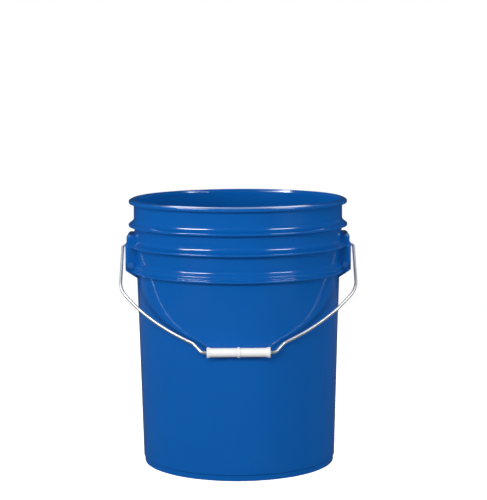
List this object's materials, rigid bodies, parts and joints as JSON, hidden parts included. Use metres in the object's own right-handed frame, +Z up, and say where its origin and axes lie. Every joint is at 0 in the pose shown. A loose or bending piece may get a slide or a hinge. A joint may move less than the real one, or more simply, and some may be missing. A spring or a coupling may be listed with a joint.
{
  "type": "bucket",
  "caption": "Tapered round plastic wash bucket with a rolled lip, reinforcing bands, moulded ears and a swinging wire bail with a loose hand grip.",
  "frame": {"origin": "centre of the foot ring, on the surface that the bucket stands on", "axes": "+Z up through the mouth, X along the hinge line of the bail through both ears, -Y towards the side on which the bail hangs at rest"},
  "size_m": [0.324, 0.3044, 0.368],
  "materials": {
    "pail_plastic": "satin moulded",
    "galvanised_wire": "drawn and galvanised",
    "grip_plastic": "moulded"
  },
  "bodies": {
    "pail": {"pail_body": "pail_plastic"},
    "bail": {"bail_wire": "galvanised_wire"},
    "grip": {"hand_grip": "grip_plastic"}
  },
  "joints": [
    {"name": "bail_swing", "type": "hinge", "parent": "pail", "child": "bail", "pos_m": [0, 0, 0.3025], "axis": [-1, 0, 0], "range_deg": [0, 261.6]},
    {"name": "grip_spin", "type": "hinge", "parent": "bail", "child": "grip", "pos_m": [0, -0.14579, 0.17664], "axis": [1, 0, 0], "continuous": true}
  ]
}
